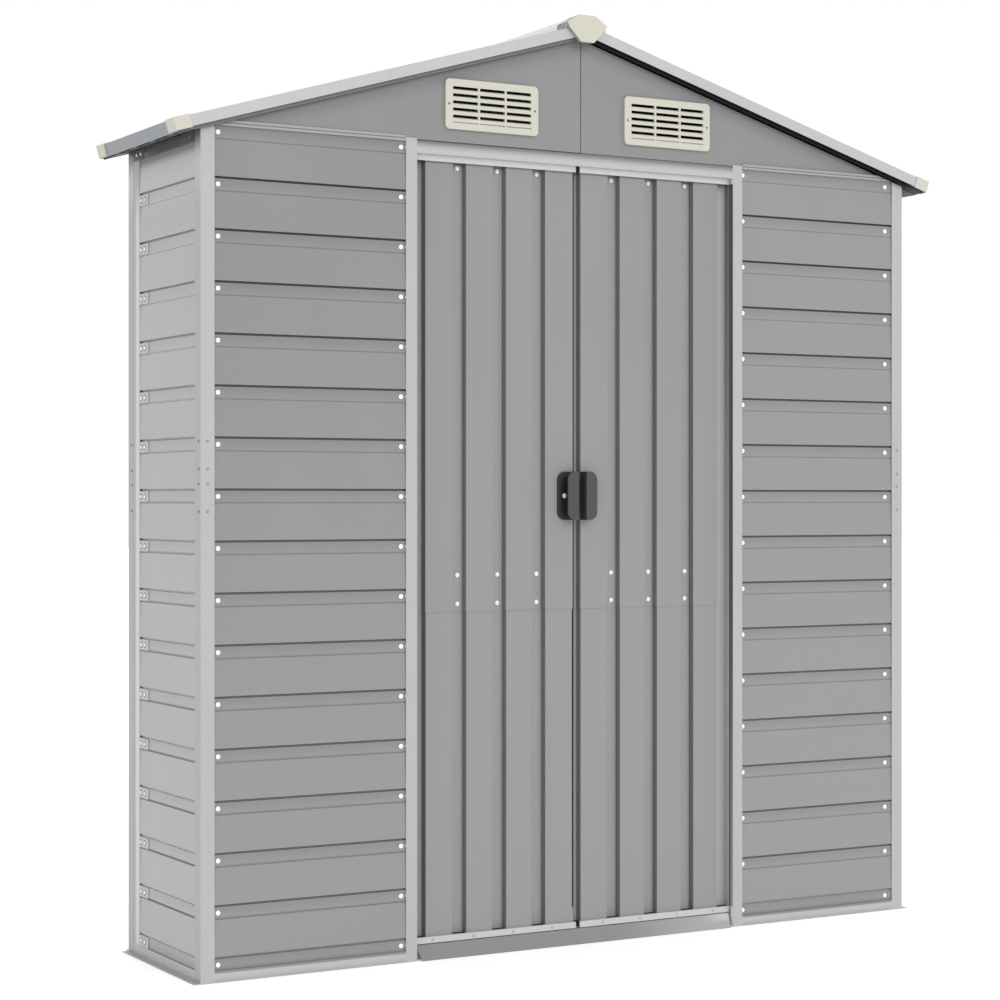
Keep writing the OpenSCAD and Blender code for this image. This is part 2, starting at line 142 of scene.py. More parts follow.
def newFinish(name):  # a new material, its shader, its surface point and the way that point faces
    finish = bpy.data.materials.new(name)
    finish.use_nodes = True
    tree = finish.node_tree
    point = Wire(tree, None).node("ShaderNodeTexCoord", {}, {}, "Object")
    facing = Wire(tree, point.socket.node.outputs["Normal"])
    return finish, tree.nodes["Principled BSDF"], point, facing


def feed(shader, socket, wire):
    wire.tree.links.new(wire.socket, shader.inputs[socket])


def speckle(point, size, detail=3.0):
    return point.node("ShaderNodeTexNoise", {}, {"Vector": point, "Scale": size, "Detail": detail})


def streaks(point, across, along):  # noise drawn out up and down the sheet
    turned = point.node("ShaderNodeMapping", {}, {"Vector": point, "Scale": (across, across, along)})
    return speckle(turned, 1.0, detail=4.0)


def addGrain(shader, grain, strength, depth):
    relief = grain.node("ShaderNodeBump", {}, {"Height": grain, "Strength": strength, "Distance": depth})
    feed(shader, "Normal", relief)


def height(point, line):  # above a level line
    return point.axes()[2] - line


# In the dictionaries of shades, a pair is where a shade starts and where it is full; most of these shades are
# painted light or painted shade
faceShades = {  # by the way that a face looks
    "sideways": (0.5, 0.9),
    "leftwards": (0.35, 0.75),
    "under": (-0.1, 0.75),
    "edge": (0.2, 0.6),
}


def sidewaysShade(point, facing):  # upright faces that look left or right, such as a channel's walls
    return abs(facing.axes()[0]).step(*faceShades["sideways"])


def leftSideShade(point, facing):  # upright faces that look to the left
    return (0.0 - facing.axes()[0]).step(*faceShades["leftwards"])


def underShade(point, facing):  # undersides of the roof's trims, for their painted shade
    return (0.0 - facing.axes()[2]).step(*faceShades["under"])


sidingShades = {
    "boardsBelow": 4.0,  # the count of boards starts below the ground, so it stays above zero
    "band": (0.70, 0.955),  # shares of a board's height
    "bandLow": 0.722,
    "bendLow": 0.714,
    "bendHigh": 0.759,
    "lapLow": 0.9555,
    "bandDust": 0.16,
    "lapDust": 0.9,
    "lapHeights": (-0.3, 1.9),
    "lapTop": grooveZ - 0.02,
    "bendHeights": (-0.1, 1.6),
    "washHeights": (-0.3, 1.7),
    "rightHalf": (0.0, 0.5),
    "rightShare": 0.5,
    "footTop": shed["seamLow"] + 0.01,
    "footShare": 0.44,
    "footRight": 1.1,
    "grime": (-0.026, -0.004),  # from the lower edge of the eave rails
    "grimeShare": 0.7,
    "shelter": (-0.14, -0.03),
    "shelterShare": 0.6,
    "base": (0.001, 0.011),  # from the top of the base rails
    "baseShare": 0.7,
}


def boardRun(point):  # height, and the share of a board's height above its lap
    z = point.axes()[2]
    run = (z - shed["seamLow"]) / shed["boardPitch"]
    return z, run.maths("FRACT", run + sidingShades["boardsBelow"])


def lowLightShade(point, facing):  # painted light: paler paint towards the ground
    return 1.0 - point.axes()[2].step(*sidingShades["washHeights"])


def rightWallShade(point, facing):  # painted light: paler paint on the right half of the front and back
    return point.axes()[0].step(*sidingShades["rightHalf"]) * sidingShades["rightShare"]


def bandShade(point, facing):  # painted shade under each lap, thinning out down the band
    z, part = boardRun(point)
    return part.step(*sidingShades["band"]) * (part > sidingShades["bandLow"]) * sidingShades["bandDust"]


def highLapShade(point, facing):  # painted shade deep in the laps, darkest high on the wall
    z, part = boardRun(point)
    high = z.step(*sidingShades["lapHeights"]) * (z < sidingShades["lapTop"])
    return (part > sidingShades["lapLow"]) * high * sidingShades["lapDust"]


def lowLapShade(point, facing):  # the lower laps, whose painted shade is lighter than high up, and painted light on the end walls
    z, part = boardRun(point)
    return (part > sidingShades["lapLow"]) * (1.0 - z.step(*sidingShades["lapHeights"])) * sidingShades["lapDust"]


def footLapShade(point, facing):  # painted light in the lowest laps, most on the right half
    z, part = boardRun(point)
    lowest = (part > sidingShades["lapLow"]) * (z < sidingShades["footTop"])
    return lowest * (rightWallShade(point, facing) * sidingShades["footRight"] + sidingShades["footShare"])


def lowBendShade(point, facing):  # painted shade on the lower bend lines
    z, part = boardRun(point)
    bend = (part > sidingShades["bendLow"]) * (part < sidingShades["bendHigh"]) * (z > shed["seamLow"])
    return bend * (1.0 - z.step(*sidingShades["bendHeights"]))


def frontBendShade(point, facing):  # less of that painted shade on the right half of the front and back
    return lowBendShade(point, facing) * (1.0 - rightWallShade(point, facing))


def baseShade(point, facing):  # painted shade on the siding, along the base rail
    return (1.0 - height(point, shed["baseHigh"]).step(*sidingShades["base"])) * sidingShades["baseShare"]


def eaveShadowShade(point, facing):  # painted shadow on the end walls, close under the eaves
    return height(point, eaveLow).step(*sidingShades["grime"]) * sidingShades["grimeShare"]


def underEaveShade(point, facing):  # a band below the eaves: painted light on the end walls and the posts' legs, painted shade on the light strips
    return height(point, eaveLow).step(*sidingShades["shelter"]) * sidingShades["shelterShare"]


def sideFootShade(point, facing):  # painted shade on the end walls, along the base rail
    return 1.0 - point.axes()[2].step(shed["baseHigh"], shed["seamLow"])


doorShades = {
    "channel": (0.002, 0.013),  # behind the doors' faces
    "plate": (-0.019, -0.006),
    "lastWall": (0.5, 1.7),  # heights
    "highRail": (1.0, 1.2),
    "gap": (-0.1, 0.8),
    "railFace": (0.001, 0.011),  # from the lower edge of the top rails
    "underRail": (-0.006, -0.001),
    "underRailShare": 0.5,
}


def channelShade(point, facing):  # painted light deep in the doors' channels, against their shade
    return (point.axes()[1] - doorFace).step(*doorShades["channel"])


def lastChannelShade(point, facing):  # painted light in the right door's outer channel, against the jamb's shadow
    return channelShade(point, facing) * (point.axes()[0] > shed["lastChannel"])


def lastWallShade(point, facing):  # and painted light on its outer wall, most towards the ground
    x, y, z = point.axes()
    return sidewaysShade(point, facing) * (x > shed["lastChannel"]) * (1.0 - z.step(*doorShades["lastWall"]))


def footShade(point, facing):  # painted shadow at the foot of the channels, on the bottom rail
    return channelShade(point, facing) * (point.axes()[2] < shed["footHigh"])


def underRailShade(point, facing):  # painted shadow close under the doors' top rails
    return height(point, shed["topRailLow"]).step(*doorShades["underRail"]) * doorShades["underRailShare"]


def highRailShade(point, facing):  # painted light on the doors' top rails, against the header's shadow
    return point.axes()[2].step(*doorShades["highRail"])


def railFaceShade(point, facing):  # and most painted light towards their upper edges
    return height(point, shed["topRailLow"]).step(*doorShades["railFace"])


def plateShade(point, facing):  # painted shade on the handles' back plates, behind their grips
    return (point.axes()[1] - doorFace).step(*doorShades["plate"])


def gapShade(point, facing):  # painted shade in the gap beside the right door, less towards the ground
    z = point.axes()[2]
    return leftSideShade(point, facing) * z.step(*doorShades["gap"]) * (z < shed["topRailLow"])


def gapEndShade(point, facing):  # painted light beside the ends of the door's rails
    z = point.axes()[2]
    return leftSideShade(point, facing) * ((z < shed["footHigh"]) + (z > shed["topRailLow"]))


rampHighlights = {"end": (0.06, 0.36), "wornEnd": (0.32, 0.385), "wornEdge": (0.010, 0.024), "wornShare": 0.8}


def rampEndShade(point, facing):  # painted highlight on the ramp, growing towards its right end
    return point.axes()[0].step(*rampHighlights["end"])


def rampEdgeHighlight(point, facing):  # and a stronger painted highlight along its upper edge there
    x, y, z = point.axes()
    return x.step(*rampHighlights["wornEnd"]) * z.step(*rampHighlights["wornEdge"]) * rampHighlights["wornShare"]


roofShades = {
    "rake": (-0.052, -0.016),  # from the lower edge of the rakes
    "seamHalf": 0.0016,
    "grooveHalf": 0.0015,
    "overhang": (0.885, 0.94),
    "paleSheets": 0.72,  # shares of the painted shade that the pale edge and the low ends lack
    "paleRakes": 0.31,
    "paleLowEnds": 0.75,
}


def rakeShade(point, facing):  # painted shadow on the gables, close under the rakes
    x, y, z = point.axes()
    return (z + abs(x) * shed["roofSlope"] - rakeLine).step(*roofShades["rake"])


def seamShade(point, facing):  # dark joint where the two halves of a gable meet
    return abs(point.axes()[0]) < roofShades["seamHalf"]


def grooveShade(point, facing):  # painted shade for a groove along the rails under the gables
    return abs(height(point, grooveZ)) < roofShades["grooveHalf"]


def overhang(point):  # the roof outside the end walls
    return abs(point.axes()[0]).step(*roofShades["overhang"])


def paleEdge(point):  # the left half of the front edge, where the painted shade of the undersides is paler
    x, y, z = point.axes()
    return (x < 0.0) * (y < shed["frontY"])


def edgeShade(point, facing):  # painted shade on the undersides and cut ends of the roof sheets
    dark = 1.0 - facing.axes()[2].step(*faceShades["edge"])
    return dark * (1.0 - paleEdge(point) * roofShades["paleSheets"])


def overhangShade(point, facing):  # less painted shade outside the end walls
    return edgeShade(point, facing) * overhang(point)


def rakeUnderShade(point, facing):  # painted shade on the undersides of the rakes, paler at their low ends
    dark = underShade(point, facing) * (1.0 - overhang(point) * roofShades["paleLowEnds"])
    return dark * (1.0 - paleEdge(point) * roofShades["paleRakes"])


frameShades = {
    "header": (0.005, 0.025),  # from the header's lower edge
    "headerShare": 0.9,
    "post": (-0.03, 0.022),  # from the lower edge of the eave rails
    "postShare": 0.7,
    "postLeast": 0.14,
    "baseEdge": (-0.0065, -0.0035),  # from the top of the base rails
    "baseFoot": (0.0, 0.014),
    "eaveBack": (0.02, 0.18),
    "eaveFoot": (0.006, 0.018),
    "eaveShare": 0.6,
}


def headerShade(point, facing):  # painted shade on the header, towards its top
    return height(point, headLow).step(*frameShades["header"]) * frameShades["headerShare"]


def postShade(point, facing):  # painted shade on the posts' outer legs, most close under the eaves
    grime = height(point, eaveLow).step(*frameShades["post"]) * frameShades["postShare"] + frameShades["postLeast"]
    return sidewaysShade(point, facing) * grime


def postTopShade(point, facing):  # painted light on those legs, further down
    return sidewaysShade(point, facing) * underEaveShade(point, facing)


def baseEdgeShade(point, facing):  # painted shade on the upper edges of the front base rails
    return height(point, shed["baseHigh"]).step(*frameShades["baseEdge"])


def baseFootShade(point, facing):  # and darker along their lower edges
    return 1.0 - point.axes()[2].step(*frameShades["baseFoot"])


def eaveShade(point, facing):  # painted shade on the rails under the eaves, less low down at the back end
    x, y, z = point.axes()
    low = 1.0 - (z - eaveLow).step(*frameShades["eaveFoot"])
    return 1.0 - y.step(*frameShades["eaveBack"]) * low * frameShades["eaveShare"]


sheetPaint = {
    "frontLevel": 132,
    "sideLevel": 170,  # the end walls are painted a paler grey
    "doorLevel": 137,
    "gableLevel": 131,
    "rampLevel": 131,
    "unevenness": 0.03,
    "cloudSize": 3.0,
    "cloudShare": 0.6,  # the rest is streaks
    "streakSizes": (9.0, 0.7),
    "cloudLow": 0.35,
    "cloudContrast": 3.0,
    "roughness": 0.5,
    "roughSpread": 0.12,
    "gloss": 0.2,
    "grainSize": 900.0,
    "grainStrength": 0.02,
    "grainDepth": 0.001,
}
framePaint = {
    "level": 166,
    "trimLevel": 177,
    # the eave trims are the trim paint made darker and bluer, as painted shade
    "eaveLevel": 158,
    "headerLevel": 171,
    "doorRailLevel": 184,
    "stripLevel": 192,
    "topRailLevel": 148,
    "baseLevel": 171,
    "tabLevel": 172,
    "bracketLevel": 84,
    "tint": (0.99, 1.0, 1.0),
    "doorTint": (0.985, 1.0, 1.0),
    "trimTint": (0.965, 0.985, 1.0),
    "eaveTint": (0.88, 0.93, 1.0),
    "unevenness": 0.025,
    "cloudSize": 6.0,
    "cloudShare": 0.5,
    "streakSizes": (40.0, 3.0),
    "cloudLow": 0.3,
    "cloudContrast": 2.5,
    "roughness": 0.42,
    "roughSpread": 0.16,
}


def paintOver(colour, point, facing, tint, shades):  # each shade: where it lies and its level
    for shade, level in shades:
        colour = shade(point, facing).mix(colour, tone(level, tint))
    return colour


def makePaint(name, look, level, tint, shades):  # clouded and streaky paint with its shades
    finish, shader, point, facing = newFinish(name)
    clouds = speckle(point, look["cloudSize"]) * look["cloudShare"]
    cloudy = clouds + streaks(point, *look["streakSizes"]) * (1 - look["cloudShare"])
    blend = (cloudy - look["cloudLow"]) * look["cloudContrast"]
    colour = blend.mix(tone(level * (1 - look["unevenness"]), tint), tone(level, tint))
    feed(shader, "Base Color", paintOver(colour, point, facing, tint, shades))
    feed(shader, "Roughness", cloudy * look["roughSpread"] + (look["roughness"] - look["roughSpread"] / 2))
    return finish, shader, point


def makeSheetPaint(name, level, *shades):  # each shade: where it lies and its share of the level
    levels = [(shade, level * share) for shade, share in shades]
    finish, shader, point = makePaint(name, sheetPaint, level, noTint, levels)
    shader.inputs["Specular IOR Level"].default_value = sheetPaint["gloss"]
    grain = speckle(point, sheetPaint["grainSize"], detail=1.0)
    addGrain(shader, grain, sheetPaint["grainStrength"], sheetPaint["grainDepth"])
    return finish


def makeFramePaint(name, level, tint, *shades):
    return makePaint(name, framePaint, level, tint, shades)[0]


capPlastic = {
    "level": 188,
    "flankLevel": 146,  # painted shade on the left side of the ridge caps
    "tint": (1.0, 0.985, 0.84),
    "roughness": 0.5,
    "grainSize": 220.0,
}
gripPlastic = {"level": 58, "plateLevel": 40, "tint": noTint, "roughness": 0.38, "grainSize": 400.0}
plasticGrain = {"unevenness": 0.04, "roughSpread": 0.1, "strength": 0.04, "depth": 0.0005}


def makePlastic(name, look, *shades):
    finish, shader, point, facing = newFinish(name)
    grain = speckle(point, look["grainSize"], detail=2.0)
    low = tone(look["level"] * (1 - plasticGrain["unevenness"]), look["tint"])
    colour = grain.mix(low, tone(look["level"], look["tint"]))
    feed(shader, "Base Color", paintOver(colour, point, facing, look["tint"], shades))
    spread = plasticGrain["roughSpread"]
    feed(shader, "Roughness", grain * spread + (look["roughness"] - spread / 2))
    addGrain(shader, grain, plasticGrain["strength"], plasticGrain["depth"])
    return finish


wornFinish = {"size": 60.0, "unevenness": 0.08}


def makeWornFinish(name, level, metal, roughness):  # screws, rivets and the floor
    finish, shader, point, facing = newFinish(name)
    low = tone(level * (1 - wornFinish["unevenness"]))
    feed(shader, "Base Color", speckle(point, wornFinish["size"]).mix(low, tone(level)))
    shader.inputs["Metallic"].default_value = metal
    shader.inputs["Roughness"].default_value = roughness
    return finish


# painted light low down, on the right half and in the lowest laps; painted shade under and in the laps, on
# the lower bend lines and along the base rail
wallPaint = makeSheetPaint(
    "wallPaint", sheetPaint["frontLevel"],
    (lowLightShade, 1.045), (rightWallShade, 1.07), (bandShade, 0.4), (highLapShade, 0.4), (lowLapShade, 0.9),
    (footLapShade, 1.25), (frontBendShade, 0.93), (baseShade, 0.9))
# painted light below the eaves and in the lower laps; painted shade under and in the laps, close under the
# eaves, on the lower bend lines and along the base rail
sidePaint = makeSheetPaint(
    "sidePaint", sheetPaint["sideLevel"],
    (underEaveShade, 1.11), (bandShade, 0.72), (eaveShadowShade, 0.55), (highLapShade, 0.9), (lowLapShade, 1.3),
    (lowBendShade, 0.58), (sideFootShade, 0.88))
# painted light low down and in the channels; painted shade on the channels' walls, at their feet and under
# the top rails
doorPaint = makeSheetPaint(
    "doorPaint", sheetPaint["doorLevel"],
    (lowLightShade, 1.02), (channelShade, 1.08), (lastChannelShade, 1.27), (sidewaysShade, 0.85),
    (lastWallShade, 1.25), (footShade, 0.5), (underRailShade, 0.55))
gablePaint = makeSheetPaint("gablePaint", sheetPaint["gableLevel"], (rakeShade, 0.91), (seamShade, 0.6))
roofPaint = makeSheetPaint("roofPaint", sheetPaint["frontLevel"], (edgeShade, 0.08), (overhangShade, 0.6))
rampPaint = makeSheetPaint("rampPaint", sheetPaint["rampLevel"], (rampEndShade, 1.2), (rampEdgeHighlight, 1.45))

railPaint = makeFramePaint("railPaint", framePaint["level"], framePaint["tint"])
postPaint = makeFramePaint(
    "postPaint", framePaint["level"], framePaint["tint"], (postTopShade, 200), (postShade, 70))
jambPaint = makeFramePaint(
    "jambPaint", framePaint["level"], framePaint["tint"], (gapShade, 78), (gapEndShade, 216))
baseRailPaint = makeFramePaint(
    "baseRailPaint", framePaint["baseLevel"], framePaint["tint"], (baseEdgeShade, 122), (baseFootShade, 152))
topRailPaint = makeFramePaint(
    "topRailPaint", framePaint["topRailLevel"], framePaint["tint"], (grooveShade, 126))
headerPaint = makeFramePaint(
    "headerPaint", framePaint["headerLevel"], framePaint["doorTint"], (headerShade, 100))
# painted light on the top rails, painted shade on the rails' ends
doorRailPaint = makeFramePaint(
    "doorRailPaint", framePaint["doorRailLevel"], framePaint["doorTint"],
    (highRailShade, 190), (railFaceShade, 212), (sidewaysShade, 24))
trimPaint = makeFramePaint(
    "trimPaint", framePaint["trimLevel"], framePaint["trimTint"], (rakeUnderShade, 22))
# painted light on the ridge strip's left side
ridgePaint = makeFramePaint(
    "ridgePaint", framePaint["trimLevel"], framePaint["trimTint"], (leftSideShade, 242))
# painted shade: the eave trims' darker paint and their darker undersides
eavePaint = makeFramePaint("eavePaint", framePaint["eaveLevel"], framePaint["eaveTint"], (underShade, 96))
eaveRailPaint = makeFramePaint("eaveRailPaint", framePaint["level"], noTint, (eaveShade, 80))
# painted light along the back posts, with painted shade close under the eaves
stripPaint = makeFramePaint("stripPaint", framePaint["stripLevel"], noTint, (underEaveShade, 130))
tabPaint = makeFramePaint("tabPaint", framePaint["tabLevel"], noTint)
bracketPaint = makeFramePaint("bracketPaint", framePaint["bracketLevel"], noTint)

creamPlastic = makePlastic("creamPlastic", capPlastic)
ridgePlastic = makePlastic("ridgePlastic", capPlastic, (leftSideShade, capPlastic["flankLevel"]))
blackPlastic = makePlastic("blackPlastic", gripPlastic, (plateShade, gripPlastic["plateLevel"]))
whiteScrew = makeWornFinish("whiteScrew", level=254, metal=0.0, roughness=0.35)
paleScrew = makeWornFinish("paleScrew", level=142, metal=0.0, roughness=0.5)
dullScrew = makeWornFinish("dullScrew", level=112, metal=0.3, roughness=0.5)
darkScrew = makeWornFinish("darkScrew", level=98, metal=0.2, roughness=0.45)

finishStarts = [  # the first start that a node's name has gives its finish
    (("left_wall", "right_wall"), sidePaint),
    (("front_wall", "back_wall"), wallPaint),
    (("left_door_upper", "left_door_lower", "right_door_upper", "right_door_lower"), doorPaint),
    (("gable",), gablePaint),
    (("door_ramp",), rampPaint),
    (("door_header",), headerPaint),
    (("eave_rail",), eaveRailPaint),
    (("left_door_rails", "right_door_rails"), doorRailPaint),
    (("roof",), roofPaint),
    (("ridge_cap",), ridgePlastic),
    (("vent", "corner_caps"), creamPlastic),
    (("left_handle", "right_handle"), blackPlastic),
    (("ridge_strip",), ridgePaint),
    (("rake",), trimPaint),
    (("eave_left", "eave_right"), eavePaint),
    (("post",), postPaint),
    (("top_rail",), topRailPaint),
    (("base_front",), baseRailPaint),
    (("jamb_right",), jambPaint),
    (("",), railPaint),
]
for name, piece in nodes.items():
    finish = next(paint for starts, paint in finishStarts if name.startswith(starts))
    piece.data.materials.clear()
    piece.data.materials.append(finish)
print("painted", len(nodes), "nodes")

screwHead = {"segments": 14, "rings": 8, "rimSides": 18, "rimWidth": 1.25, "rimDepth": 0.5}
headInputs = {
    "Geometry": "NodeSocketGeometry",
    "Head Radius": "NodeSocketFloat",
    "Head Height": "NodeSocketFloat",
    "Turn": "NodeSocketVector",
    "Finish": "NodeSocketMaterial",
}


def addNode(tree, kind, **settings):
    made = tree.nodes.new(kind)
    for name, value in settings.items():
        setattr(made, name, value)
    return made


def screwTree():  # domed heads on the points of a mesh, with a flat washer rim
    tree = bpy.data.node_groups.new("screwHeads", "GeometryNodeTree")
    for name, kind in headInputs.items():
        tree.interface.new_socket(name, in_out="INPUT", socket_type=kind)
    tree.interface.new_socket("Geometry", in_out="OUTPUT", socket_type="NodeSocketGeometry")
    link = tree.links.new
    ins = addNode(tree, "NodeGroupInput")
    outs = addNode(tree, "NodeGroupOutput")
    dome = addNode(tree, "GeometryNodeMeshUVSphere")
    dome.inputs["Segments"].default_value = screwHead["segments"]
    dome.inputs["Rings"].default_value = screwHead["rings"]
    dome.inputs["Radius"].default_value = 1.0
    size = addNode(tree, "ShaderNodeCombineXYZ")
    shape = addNode(tree, "GeometryNodeTransform")
    rim = addNode(tree, "GeometryNodeMeshCylinder")
    rim.inputs["Vertices"].default_value = screwHead["rimSides"]
    wide = addNode(tree, "ShaderNodeMath", operation="MULTIPLY")
    wide.inputs[1].default_value = screwHead["rimWidth"]
    thin = addNode(tree, "ShaderNodeMath", operation="MULTIPLY")
    thin.inputs[1].default_value = screwHead["rimDepth"]
    both = addNode(tree, "GeometryNodeJoinGeometry")
    spread = addNode(tree, "GeometryNodeInstanceOnPoints")
    real = addNode(tree, "GeometryNodeRealizeInstances")
    paint = addNode(tree, "GeometryNodeSetMaterial")
    for axis in "XY":
        link(ins.outputs["Head Radius"], size.inputs[axis])
    link(ins.outputs["Head Height"], size.inputs["Z"])
    link(dome.outputs["Mesh"], shape.inputs["Geometry"])
    link(size.outputs["Vector"], shape.inputs["Scale"])
    link(ins.outputs["Head Radius"], wide.inputs[0])
    link(ins.outputs["Head Height"], thin.inputs[0])
    link(wide.outputs[0], rim.inputs["Radius"])
    link(thin.outputs[0], rim.inputs["Depth"])
    link(shape.outputs["Geometry"], both.inputs["Geometry"])
    link(rim.outputs["Mesh"], both.inputs["Geometry"])
    link(ins.outputs["Geometry"], spread.inputs["Points"])
    link(both.outputs["Geometry"], spread.inputs["Instance"])
    link(ins.outputs["Turn"], spread.inputs["Rotation"])
    link(spread.outputs["Instances"], real.inputs["Geometry"])
    link(real.outputs["Geometry"], paint.inputs["Geometry"])
    link(ins.outputs["Finish"], paint.inputs["Material"])
    link(paint.outputs["Geometry"], outs.inputs["Geometry"])
    return tree


headTree = screwTree()
headItems = [item for item in headTree.interface.items_tree if item.in_out == "INPUT"]
headSockets = {item.name: item.identifier for item in headItems}
turns = {  # how a head is turned to stand out of a face
    "front": (math.radians(90), 0, 0),
    "back": (math.radians(-90), 0, 0),
    "left": (0, math.radians(-90), 0),
    "right": (0, math.radians(90), 0),
}


def screwMesh(name, spots, way, radius, rise, finish):  # a plain mesh of heads at the spots
    points = bpy.data.meshes.new(name + "Points")
    points.from_pydata(spots, [], [])
    holder = bpy.data.objects.new(name + "Points", points)
    bpy.context.scene.collection.objects.link(holder)
    heads = holder.modifiers.new("heads", "NODES")
    heads.node_group = headTree
    heads[headSockets["Head Radius"]] = radius
    heads[headSockets["Head Height"]] = rise
    heads[headSockets["Turn"]] = turns[way]
    heads[headSockets["Finish"]] = finish
    bpy.context.view_layer.update()
    evaluated = holder.evaluated_get(bpy.context.evaluated_depsgraph_get())
    mesh = bpy.data.meshes.new_from_object(evaluated)
    bpy.data.objects.remove(holder)
    return mesh


def boxMesh(name, corner, opposite, finish):
    ends = [sorted(pair) for pair in zip(corner, opposite)]
    corners = [(x, y, z) for x in ends[0] for y in ends[1] for z in ends[2]]
    faces = [(0, 1, 3, 2), (4, 6, 7, 5), (0, 4, 5, 1), (2, 3, 7, 6), (0, 2, 6, 4), (1, 5, 7, 3)]
    mesh = bpy.data.meshes.new(name)
    mesh.from_pydata(corners, [], faces)
    mesh.materials.append(finish)
    mesh.update()
    return mesh


def joinMeshes(name, meshes, body):  # one piece of a body from several meshes
    parts = []
    for mesh in meshes:
        part = bpy.data.objects.new(name, mesh)
        bpy.context.scene.collection.objects.link(part)
        parts.append(part)
    piece = parts[0]
    if len(parts) > 1:
        with bpy.context.temp_override(active_object=piece, selected_editable_objects=parts, object=piece):
            bpy.ops.object.join()
    piece.name = name
    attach(piece, body)


wallRivets = {
    "radius": 0.0038,
    "rise": 0.0022,
    "frontX": (-0.849, -0.4385, 0.431, 0.839),
    "tuckedX": (-0.424, 0.424),  # half under the jambs
    "tuckedRise": 0.0014,
    "backX": (-0.843, -0.42, 0.0, 0.42, 0.843),
}
bands = [shed["seamLow"] + k * shed["boardPitch"] - shed["bandDrop"] for k in range(shed["boardRows"])]
frontBand = shed["frontY"] + shed["bandSet"]
rivetMeshes = []
for name, way, columns, y, rise in (
    ("frontRivets", "front", wallRivets["frontX"], frontBand, wallRivets["rise"]),
    ("tuckedRivets", "front", wallRivets["tuckedX"], frontBand, wallRivets["tuckedRise"]),
    ("backRivets", "back", wallRivets["backX"], -frontBand, wallRivets["rise"]),
):
    spots = [(x, y, z) for x in columns for z in bands]
    rivetMeshes.append(screwMesh(name, spots, way, wallRivets["radius"], rise, whiteScrew))

tabPlate = {
    "size": (0.0024, 0.053, 0.022),
    "middle": 0.3145,  # behind the front of the posts
    "rivets": (0.308, 0.328),
    "rivetRadius": 0.0036,
    "rivetRise": 0.0018,
    "washerRadius": 0.0054,
    "washerRise": 0.0007,
}
endStrip = {"thick": 0.0023, "edges": (0.17, 0.1575, 0.1385)}  # a dull part and a light part, the light one painted light as the lit edge of the back post
eaveBracket = {
    "width": 0.06,
    "high": 0.024,
    "thick": 0.0012,
    "gap": 0.001,  # outside the posts
    "endY": 0.166,
    "screws": (0.124, 0.147),
    "screwRadius": 0.003,
    "screwRise": 0.0018,
}
tabMeshes = []
bracketMeshes = []
for side, way in ((-1, "left"), (1, "right")):
    # tab plates on the bands, each with two rivets on washers; the washers' dull colour is painted shade
    # round the rivets
    face = side * (shed["halfW"] - shed["bandSet"])
    out = face + side * tabPlate["size"][0]
    middleY = shed["frontY"] + tabPlate["middle"]
    halfY, halfZ = tabPlate["size"][1] / 2, tabPlate["size"][2] / 2
    spots = []
    for z in bands[:-1]:
        corner = (face, middleY - halfY, z - halfZ)
        tabMeshes.append(boxMesh("tab", corner, (out, middleY + halfY, z + halfZ), tabPaint))
        spots += [(out, shed["frontY"] + y, z) for y in tabPlate["rivets"]]
    for name, radius, rise, finish in (
        ("Washers", tabPlate["washerRadius"], tabPlate["washerRise"], dullScrew),
        ("Rivets", tabPlate["rivetRadius"], tabPlate["rivetRise"], whiteScrew),
    ):
        rivetMeshes.append(screwMesh(way + name, spots, way, radius, rise, finish))

    # strips up the back end of the wall
    out = face + side * endStrip["thick"]
    for paint, back, front in zip((railPaint, stripPaint), endStrip["edges"], endStrip["edges"][1:]):
        tabMeshes.append(boxMesh("strip", (face, front, shed["baseHigh"]), (out, back, eaveLow), paint))

    # plates with two screws that tie the eave rail to the posts; the plates are painted dark as shade, and
    # the front end's screws duller as shade
    face = side * (shed["halfW"] + eaveBracket["gap"])
    out = face + side * eaveBracket["thick"]
    top = eaveLow + eaveBracket["high"]
    for end, finish in ((-1, dullScrew), (1, whiteScrew)):
        inner = end * (eaveBracket["endY"] - eaveBracket["width"])
        corner = (face, end * eaveBracket["endY"], eaveLow)
        bracketMeshes.append(boxMesh("bracket", corner, (out, inner, top), bracketPaint))
        spots = [(out, end * y, (eaveLow + top) / 2) for y in eaveBracket["screws"]]
        radius, rise = eaveBracket["screwRadius"], eaveBracket["screwRise"]
        bracketMeshes.append(screwMesh(way + "Bracket", spots, way, radius, rise, finish))
joinMeshes("wallRivets", rivetMeshes, "shed")
joinMeshes("wallTabs", tabMeshes, "shed")
joinMeshes("eaveBrackets", bracketMeshes, "shed")
print("riveted the walls")

postScrews = {
    "heights": (1.0807, 1.0255, 0.9953, 0.9405),
    "radius": 0.0026,
    "rise": 0.0012,
    "inset": 0.015,
    "sideY": (-0.19, 0.1814),
}
postX = shed["halfW"] - postScrews["inset"]
postMeshes = []
for way, columns, finish in (
    ("front", [(-postX, shed["frontY"]), (postX, shed["frontY"])], paleScrew),
    ("back", [(-postX, -shed["frontY"]), (postX, -shed["frontY"])], paleScrew),
    ("left", [(-shed["halfW"], y) for y in postScrews["sideY"]], darkScrew),
    ("right", [(shed["halfW"], y) for y in postScrews["sideY"]], darkScrew),
):
    spots = [(x, y, z) for x, y in columns for z in postScrews["heights"]]
    postMeshes.append(screwMesh(way + "Post", spots, way, postScrews["radius"], postScrews["rise"], finish))
joinMeshes("postScrews", postMeshes, "shed")

ventScrews = {"reach": 0.105, "radius": 0.002, "rise": 0.0012}
spots = []
for name in ("vent_left", "vent_right"):
    low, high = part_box(name)
    middle = (low[0] + high[0]) / 2
    spots += [(middle + s * ventScrews["reach"], low[1], (low[2] + high[2]) / 2) for s in (-1, 1)]
ventMesh = screwMesh("ventScrews", spots, "front", ventScrews["radius"], ventScrews["rise"], dullScrew)
joinMeshes("ventScrews", [ventMesh], "shed")

